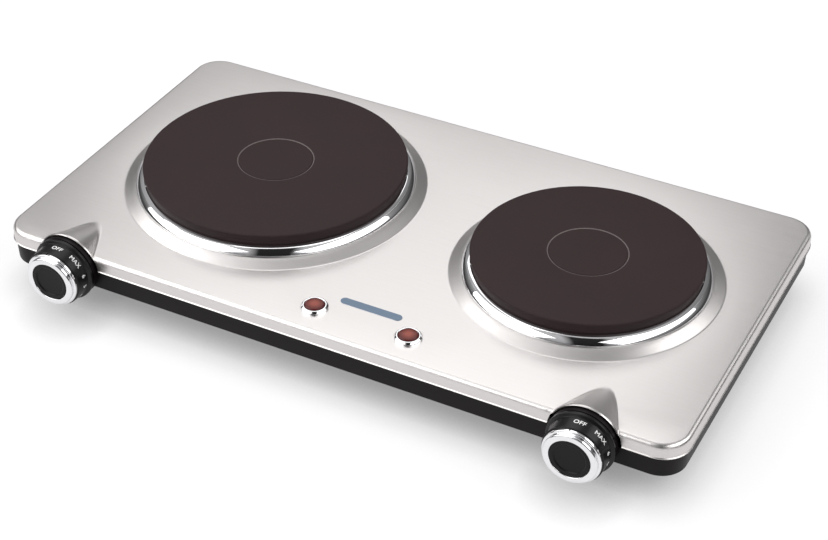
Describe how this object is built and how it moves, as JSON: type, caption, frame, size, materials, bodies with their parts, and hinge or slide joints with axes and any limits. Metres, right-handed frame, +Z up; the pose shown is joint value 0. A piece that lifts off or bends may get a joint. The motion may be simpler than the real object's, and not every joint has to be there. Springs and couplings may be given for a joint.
{
  "type": "two-burner hot plate",
  "caption": "Table-top electric hot plate with a brushed steel top, cast iron plates in raised rims, front dial knobs and red signal lamps over a black base.",
  "frame": {"origin": "on the table, under the middle of the plan outline with the knobs included", "axes": "+X to the right as seen by the cook, +Y away from the cook, +Z up"},
  "size_m": [0.4902, 0.287, 0.0662],
  "materials": {
    "brushed_top": "brushed",
    "black_paint": "satin",
    "iron": "matte coated",
    "bright_trim": "polished",
    "knob_black": "gloss",
    "lamp_red": "tinted",
    "element_steel": "oxidised",
    "inner_sheet": "plain",
    "fixing_steel": "zinc",
    "insulator": "moulded",
    "brass_contact": "plain",
    "lamp_glass": "clear",
    "lead_cover": "woven sleeve",
    "black_rubber": "matte"
  },
  "bodies": {
    "housing": {"top_cover": "brushed_top", "base_pan": "black_paint", "left_plate": "iron", "right_plate": "iron", "left_trim_ring": "bright_trim", "right_trim_ring": "bright_trim", "left_lamp_bezel": "bright_trim", "right_lamp_bezel": "bright_trim", "left_lamp_lens": "lamp_red", "right_lamp_lens": "lamp_red", "left_element": "element_steel", "right_element": "element_steel", "left_reflector": "inner_sheet", "right_reflector": "inner_sheet", "left_strap": "inner_sheet", "right_strap": "inner_sheet", "lamp_clips": "inner_sheet", "left_stud": "fixing_steel", "right_stud": "fixing_steel", "reflector_nuts": "fixing_steel", "clamp_nuts": "fixing_steel", "thermostat_screws": "fixing_steel", "tie_posts": "fixing_steel", "base_screws": "fixing_steel", "foot_screws": "fixing_steel", "foot_nuts": "fixing_steel", "left_terminal_block": "insulator", "right_terminal_block": "insulator", "left_thermostat": "insulator", "right_thermostat": "insulator", "mains_block": "insulator", "left_thermostat_leaf": "brass_contact", "right_thermostat_leaf": "brass_contact", "mains_block_screws": "brass_contact", "earth_tab": "brass_contact", "left_lamp_bulb": "lamp_glass", "right_lamp_bulb": "lamp_glass", "left_supply_lead": "lead_cover", "right_supply_lead": "lead_cover", "left_heater_lead": "lead_cover", "right_heater_lead": "lead_cover", "left_return_lead": "lead_cover", "right_return_lead": "lead_cover", "earth_lead": "lead_cover", "front_left_foot": "black_rubber", "front_right_foot": "black_rubber", "rear_left_foot": "black_rubber", "rear_right_foot": "black_rubber", "cord_gland": "black_rubber"},
    "left_knob": {"left_shaft": "fixing_steel", "left_knob_skirt": "knob_black", "left_knob_ring": "bright_trim", "left_knob_cap": "knob_black"},
    "right_knob": {"right_shaft": "fixing_steel", "right_knob_skirt": "knob_black", "right_knob_ring": "bright_trim", "right_knob_cap": "knob_black"}
  },
  "joints": [
    {"name": "left_knob_turn", "type": "hinge", "parent": "housing", "child": "left_knob", "pos_m": [-0.1905, -0.12455, 0.0354], "axis": [0, 1, 0], "range_deg": [0, 315]},
    {"name": "right_knob_turn", "type": "hinge", "parent": "housing", "child": "right_knob", "pos_m": [0.1835, -0.12455, 0.0354], "axis": [0, 1, 0], "range_deg": [0, 315]}
  ]
}
